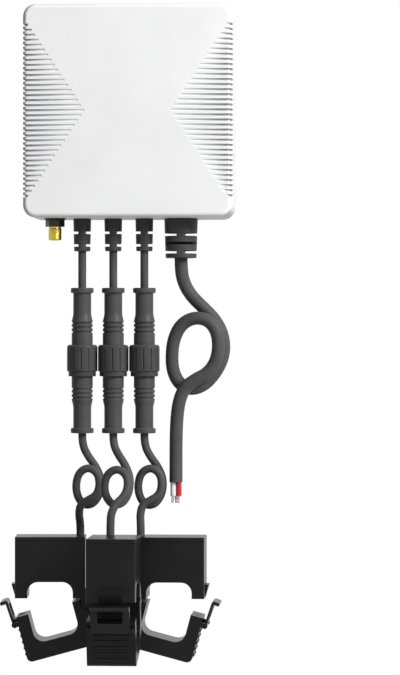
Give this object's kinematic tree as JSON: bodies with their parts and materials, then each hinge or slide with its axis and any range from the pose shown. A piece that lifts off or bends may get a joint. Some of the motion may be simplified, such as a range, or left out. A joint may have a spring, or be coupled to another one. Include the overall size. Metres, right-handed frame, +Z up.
{
  "type": "smart energy monitor",
  "caption": "Wall-hung energy meter with antenna jack, supply cable and split-core current clamps on plug-in leads",
  "frame": {"origin": "centre of the case's back face, which lies on the wall", "axes": "+X to the viewer's right, +Y into the wall, +Z up"},
  "size_m": [0.1107, 0.0796, 0.3079],
  "materials": {
    "white_cover": "fine satin",
    "seal_rubber": "matt",
    "steel": "zinc plated",
    "board": "lacquered",
    "module_black": "matt",
    "capacitor_sleeve": "sleeve",
    "shield_can": "pressed",
    "terminal_green": "moulded",
    "gold": "gold plated",
    "insulator_white": "waxy",
    "antenna_hardware": "dark nickel",
    "pigtail_black": "satin",
    "gland_rubber": "moulded satin",
    "cable_jacket": "satin",
    "connector_black": "moulded satin",
    "nut_black": "moulded satin",
    "clamp_black": "fine spark texture",
    "jaw_black": "fine spark texture",
    "latch_black": "fine spark texture",
    "ferrite": "ground",
    "copper_winding": "enamelled wire",
    "red_insulation": "satin",
    "black_insulation": "satin",
    "white_insulation": "satin",
    "tinned_copper": "tinned strands"
  },
  "bodies": {
    "root": {"front_cover": "white_cover", "rear_cover": "white_cover", "cover_seal": "seal_rubber", "connector_seals": "seal_rubber", "cover_screws": "steel", "board_screws": "steel", "hinge_pins": "steel", "main_board": "board", "power_module": "module_black", "metering_chip": "module_black", "filter_capacitors": "capacitor_sleeve", "radio_module": "shield_can", "terminal_blocks": "terminal_green", "antenna_jack": "gold", "socket_contacts": "gold", "plug_contacts": "gold", "antenna_insulator": "insulator_white", "antenna_washer": "antenna_hardware", "antenna_nut": "antenna_hardware", "antenna_pigtail": "pigtail_black", "left_gland": "gland_rubber", "middle_gland": "gland_rubber", "right_gland": "gland_rubber", "power_gland": "gland_rubber", "left_lead": "cable_jacket", "middle_lead": "cable_jacket", "right_lead": "cable_jacket", "left_clamp_cord": "cable_jacket", "middle_clamp_cord": "cable_jacket", "right_clamp_cord": "cable_jacket", "power_cord": "cable_jacket", "power_inner_wires": "cable_jacket", "left_socket_shell": "connector_black", "middle_socket_shell": "connector_black", "right_socket_shell": "connector_black", "left_plug_shell": "connector_black", "middle_plug_shell": "connector_black", "right_plug_shell": "connector_black", "left_clamp_body": "clamp_black", "middle_clamp_body": "clamp_black", "right_clamp_body": "clamp_black", "clamp_lids": "clamp_black", "upper_cores": "ferrite", "clamp_coils": "copper_winding", "red_wire": "red_insulation", "black_wire": "black_insulation", "white_wire": "white_insulation", "bare_strands": "tinned_copper"},
    "left_jaw_body": {"left_jaw": "jaw_black", "left_lower_core": "ferrite"},
    "left_latch_body": {"left_latch": "latch_black"},
    "left_nut_body": {"left_coupling_nut": "nut_black"},
    "middle_jaw_body": {"middle_jaw": "jaw_black", "middle_lower_core": "ferrite"},
    "middle_latch_body": {"middle_latch": "latch_black"},
    "middle_nut_body": {"middle_coupling_nut": "nut_black"},
    "right_jaw_body": {"right_jaw": "jaw_black", "right_lower_core": "ferrite"},
    "right_latch_body": {"right_latch": "latch_black"},
    "right_nut_body": {"right_coupling_nut": "nut_black"}
  },
  "joints": [
    {"name": "left_jaw_hinge", "type": "hinge", "parent": "root", "child": "left_jaw_body", "pos_m": [-0.02016, -0.01579, -0.2304], "axis": [0.0698, -0.9976, 0], "range_deg": [-15, 25]},
    {"name": "left_latch_pivot", "type": "hinge", "parent": "left_jaw_body", "child": "left_latch_body", "pos_m": [-0.05437, -0.01818, -0.24093], "axis": [0.0698, -0.9976, 0], "range_deg": [-4, 8], "stiffness_Nm_per_rad": 0.05},
    {"name": "left_nut_turn", "type": "hinge", "parent": "root", "child": "left_nut_body", "pos_m": [-0.02267, -0.017, -0.1166], "axis": [0, 0, 1], "continuous": true},
    {"name": "middle_jaw_hinge", "type": "hinge", "parent": "root", "child": "middle_jaw_body", "pos_m": [-0.00442, -0.0386, -0.2284], "axis": [1, 0, 0], "range_deg": [-15, 25]},
    {"name": "middle_latch_pivot", "type": "hinge", "parent": "middle_jaw_body", "child": "middle_latch_body", "pos_m": [-0.00442, -0.07289, -0.23893], "axis": [1, 0, 0], "range_deg": [-4, 8], "stiffness_Nm_per_rad": 0.05},
    {"name": "middle_nut_turn", "type": "hinge", "parent": "root", "child": "middle_nut_body", "pos_m": [-0.00797, -0.017, -0.1166], "axis": [0, 0, 1], "continuous": true},
    {"name": "right_jaw_hinge", "type": "hinge", "parent": "root", "child": "right_jaw_body", "pos_m": [0.00168, -0.017, -0.2304], "axis": [0, 1, 0], "range_deg": [-15, 25]},
    {"name": "right_latch_pivot", "type": "hinge", "parent": "right_jaw_body", "child": "right_latch_body", "pos_m": [0.03597, -0.017, -0.24093], "axis": [0, 1, 0], "range_deg": [-4, 8], "stiffness_Nm_per_rad": 0.05},
    {"name": "right_nut_turn", "type": "hinge", "parent": "root", "child": "right_nut_body", "pos_m": [0.00673, -0.017, -0.1166], "axis": [0, 0, 1], "continuous": true}
  ]
}
